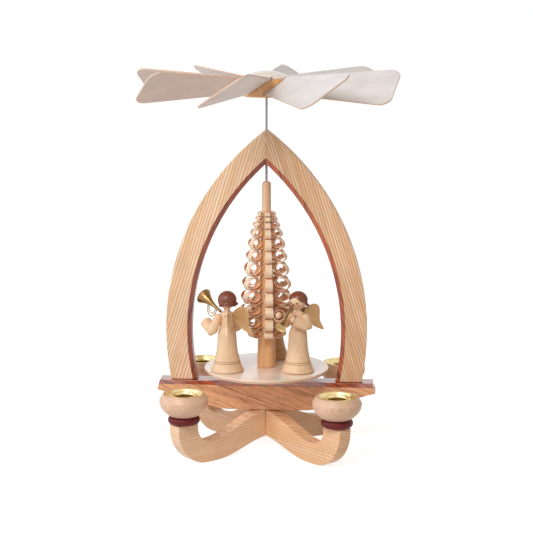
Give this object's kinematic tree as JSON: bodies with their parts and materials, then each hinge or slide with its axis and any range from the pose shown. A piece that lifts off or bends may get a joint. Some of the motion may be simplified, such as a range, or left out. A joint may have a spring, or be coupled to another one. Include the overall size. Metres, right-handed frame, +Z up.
{
  "type": "christmas pyramid",
  "caption": "Table-top wooden pyramid: candle cups on a bent base cross, a pointed arch, and a spindle that turns a plate of angels round a shaved tree under a bladed fan.",
  "frame": {"origin": "on the spindle axis, at the height of the table top under the feet", "axes": "+Z up along the spindle, +X along the cross beam to the right, +Y to the back"},
  "size_m": [0.1968, 0.1968, 0.2876],
  "materials": {
    "ash": "clear satin over striped light ash",
    "beech": "clear satin over flecked beech",
    "padauk": "clear satin over red-brown wood",
    "mahogany": "clear satin over streaked reddish wood",
    "red_stain": "dark red stain",
    "limewood": "raw, smoothly turned",
    "blade_wood": "raw thin sawn wood",
    "hair_brown": "brown satin paint",
    "gold_paint": "gold bronze paint on wood",
    "brass": "polished",
    "steel": "bright drawn"
  },
  "bodies": {
    "base": {"base_bar_lower": "ash", "base_bar_upper": "ash", "cross_beam": "mahogany", "beam_strip": "padauk", "beam_screw": "steel", "arch_leg_left": "ash", "arch_lining_left": "padauk", "leg_dowel_left": "beech", "arch_leg_right": "ash", "arch_lining_right": "padauk", "leg_dowel_right": "beech", "cup_ring_back_right": "red_stain", "candle_cup_back_right": "beech", "candle_insert_back_right": "brass", "cup_ring_back_left": "red_stain", "candle_cup_back_left": "beech", "candle_insert_back_left": "brass", "cup_ring_front_left": "red_stain", "candle_cup_front_left": "beech", "candle_insert_front_left": "brass", "cup_ring_front_right": "red_stain", "candle_cup_front_right": "beech", "candle_insert_front_right": "brass", "pivot_bearing": "brass", "guide_bush": "brass"},
    "rotor": {"spindle": "steel", "turntable_plate": "limewood", "shaved_tree": "limewood", "angel_left_body": "limewood", "angel_left_head": "hair_brown", "angel_left_arm_left": "limewood", "angel_left_wing_left": "gold_paint", "angel_left_arm_right": "limewood", "angel_left_wing_right": "gold_paint", "angel_left_horn": "brass", "angel_right_body": "limewood", "angel_right_head": "hair_brown", "angel_right_arm_left": "limewood", "angel_right_wing_left": "gold_paint", "angel_right_arm_right": "limewood", "angel_right_wing_right": "gold_paint", "angel_right_horn": "brass", "angel_back_body": "limewood", "angel_back_head": "hair_brown", "angel_back_arm_left": "limewood", "angel_back_wing_left": "gold_paint", "angel_back_arm_right": "limewood", "angel_back_wing_right": "gold_paint", "angel_back_horn": "brass"},
    "fan": {"fan_hub": "beech", "fan_blade_1": "blade_wood", "fan_blade_2": "blade_wood", "fan_blade_3": "blade_wood", "fan_blade_4": "blade_wood", "fan_blade_5": "blade_wood", "fan_blade_6": "blade_wood", "fan_blade_7": "blade_wood", "fan_blade_8": "blade_wood"}
  },
  "joints": [
    {"name": "rotor_spin", "type": "hinge", "parent": "base", "child": "rotor", "pos_m": [0, 0, 0.0524], "axis": [0, 0, 1], "continuous": true},
    {"name": "fan_lift", "type": "slide", "parent": "rotor", "child": "fan", "axis": [0, 0, 1], "range_m": [0, 0.012]}
  ]
}
